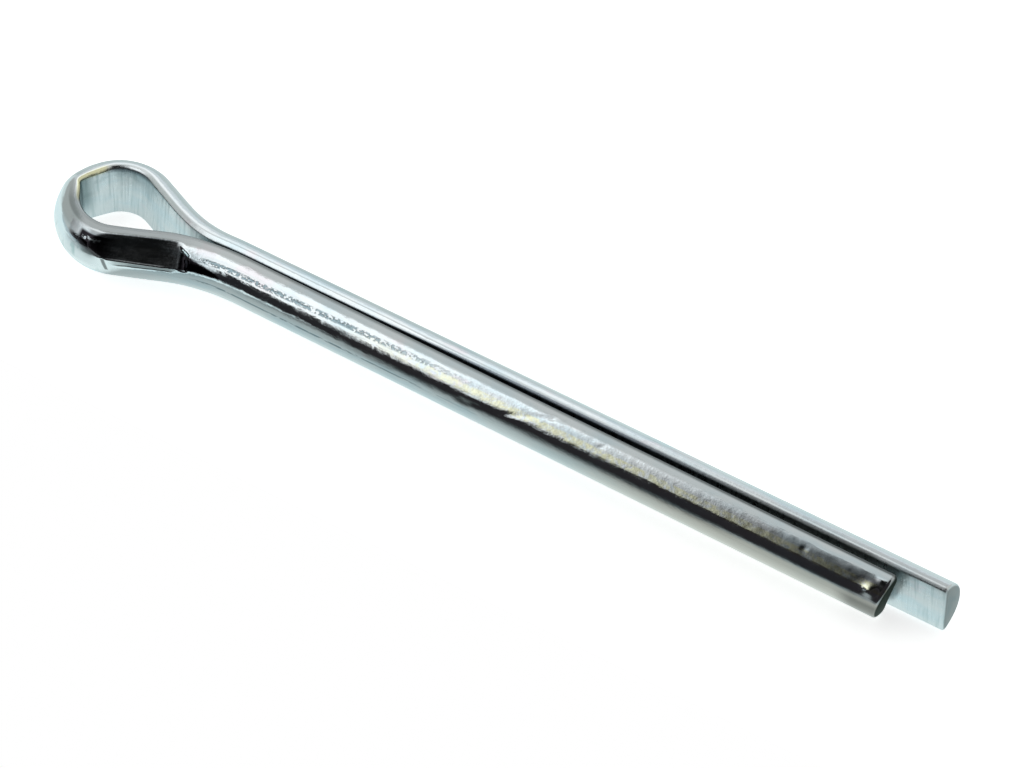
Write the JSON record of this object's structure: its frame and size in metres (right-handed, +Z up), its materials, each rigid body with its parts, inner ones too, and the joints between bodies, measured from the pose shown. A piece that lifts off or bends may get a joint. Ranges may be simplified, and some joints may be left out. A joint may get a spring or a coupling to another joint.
{
  "type": "cotter pin",
  "caption": "Zinc-plated cotter pin bent from half-round wire, with a round eye and one prong longer than the other.",
  "frame": {"origin": "on the shank's axis, where the short leg leaves the bend at the neck", "axes": "+X along the shank towards the tips, +Z up with the pin lying on its side, the short leg on -Y and the long leg on +Y"},
  "size_m": [0.0632, 0.0083, 0.0036],
  "materials": {
    "zinc_plate": "bright zinc plate over drawn steel wire, with fine pits and draw lines"
  },
  "bodies": {
    "root": {"cotter_pin": "zinc_plate"}
  },
  "joints": []
}
